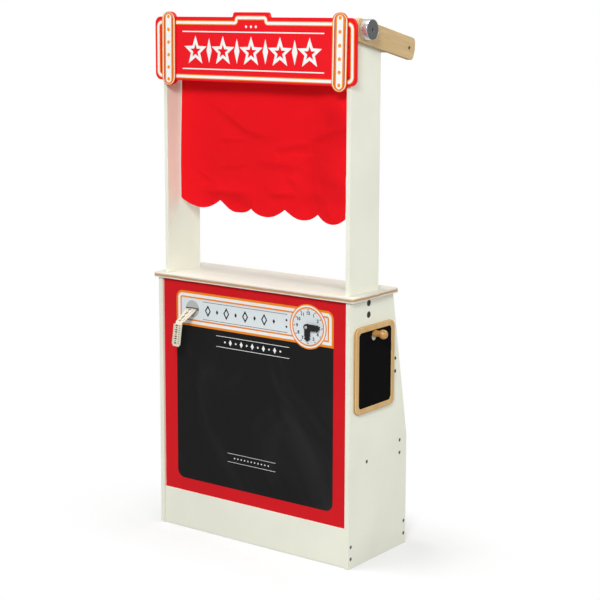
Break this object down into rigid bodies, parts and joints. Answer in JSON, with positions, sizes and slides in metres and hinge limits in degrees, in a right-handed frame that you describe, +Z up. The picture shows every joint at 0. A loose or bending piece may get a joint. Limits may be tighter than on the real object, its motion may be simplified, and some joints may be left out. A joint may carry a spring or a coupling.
{
  "type": "puppet theater stand",
  "caption": "Free-standing child's puppet theatre: cabinet with chalkboard front, shop shelves, posts with sign, roll-up curtain, tilting arms, clock, ticket strip and hanging board.",
  "frame": {"origin": "middle of the plinth board's underside, on the floor", "axes": "+Z up, +X to the right of someone in the audience, +Y away from the audience"},
  "size_m": [0.5293, 0.26, 1.0607],
  "materials": {
    "cream_paint": "satin cream paint on board",
    "printed_panel": "satin red print on board with a chalkboard field",
    "printed_sign": "satin red print on board",
    "red_paint": "satin red paint on board",
    "bulb_strip_print": "satin pale print on board",
    "plywood": "clear matt lacquer on birch plywood",
    "pale_wood": "bare beech",
    "honey_wood": "clear satin lacquer",
    "bright_metal": "turned and brushed",
    "dark_grey": "matt moulded",
    "red_cloth": "plain woven cotton",
    "hand_black": "matt moulded",
    "paper": "uncoated paper",
    "chalk_black": "matt chalkboard paint",
    "steel": "dark zinc"
  },
  "bodies": {
    "stand": {"side_panel_left": "cream_paint", "side_panel_right": "cream_paint", "plinth_board": "cream_paint", "front_panel": "printed_panel", "counter_top": "plywood", "shelf_lower": "cream_paint", "shelf_upper": "cream_paint", "shelf_lip_lower": "red_paint", "shelf_lip_upper": "red_paint", "back_rail": "cream_paint", "post_left": "cream_paint", "post_right": "cream_paint", "sign_board": "printed_sign", "bulb_strip_left": "bulb_strip_print", "bulb_strip_right": "bulb_strip_print", "curtain": "red_cloth", "clock_pivot": "bright_metal", "clock_spacer": "bright_metal", "ticket_strip": "paper", "ticket_roll_peg": "pale_wood", "sign_screw_1": "steel", "sign_screw_2": "steel", "sign_screw_3": "steel", "sign_screw_4": "steel", "post_bolt_1": "steel", "post_bolt_2": "steel", "post_bolt_3": "steel", "post_bolt_4": "steel", "post_bolt_nut_1": "steel", "post_bolt_nut_2": "steel", "post_bolt_nut_3": "steel", "post_bolt_nut_4": "steel", "wooden_dowel_1": "pale_wood", "wooden_dowel_2": "pale_wood", "wooden_dowel_3": "pale_wood", "wooden_dowel_4": "pale_wood", "wooden_dowel_5": "pale_wood", "wooden_dowel_6": "pale_wood", "wooden_dowel_7": "pale_wood", "wooden_dowel_8": "pale_wood"},
    "curtain_roller": {"curtain_roller": "pale_wood", "roller_knob_left": "bright_metal", "roller_knob_right": "bright_metal", "knob_face_left": "dark_grey", "knob_face_right": "dark_grey", "knob_screw_1": "steel", "knob_screw_2": "steel"},
    "arms": {"arm_left": "plywood", "arm_right": "plywood", "arm_crossbar": "pale_wood", "arm_screw_1": "steel", "arm_screw_2": "steel"},
    "hour_hand": {"clock_hour_hand": "hand_black"},
    "minute_hand": {"clock_minute_hand": "hand_black"},
    "ticket_roll": {"ticket_roll": "paper"},
    "hanging_peg": {"hanging_peg": "honey_wood"},
    "hanging_board": {"hanging_board_frame": "plywood", "hanging_board_panel": "chalk_black"}
  },
  "joints": [
    {"name": "curtain_winding", "type": "hinge", "parent": "stand", "child": "curtain_roller", "pos_m": [0, 0.0331, 1.0293], "axis": [1, 0, 0], "range_deg": [0, 1080], "deforming": ["curtain"]},
    {"name": "arm_tilt", "type": "hinge", "parent": "stand", "child": "arms", "pos_m": [0, 0.0331, 1.0293], "axis": [1, 0, 0], "range_deg": [-45, 60]},
    {"name": "hour_hand_turn", "type": "hinge", "parent": "stand", "child": "hour_hand", "pos_m": [0.1382, -0.0063, 0.4635], "axis": [0, 1, 0], "continuous": true},
    {"name": "minute_hand_turn", "type": "hinge", "parent": "stand", "child": "minute_hand", "pos_m": [0.1382, -0.0092, 0.4635], "axis": [0, 1, 0], "continuous": true},
    {"name": "ticket_roll_spin", "type": "hinge", "parent": "stand", "child": "ticket_roll", "pos_m": [-0.154, 0.042, 0.4263], "axis": [1, 0, 0], "continuous": true},
    {"name": "board_swing", "type": "hinge", "parent": "stand", "child": "hanging_peg", "pos_m": [0.24, 0.0694, 0.4522], "axis": [1, 0, 0], "range_deg": [-40, 40]},
    {"name": "board_lift_off", "type": "slide", "parent": "hanging_peg", "child": "hanging_board", "axis": [0.9845, 0, 0.1752], "range_m": [0, 0.038]}
  ]
}
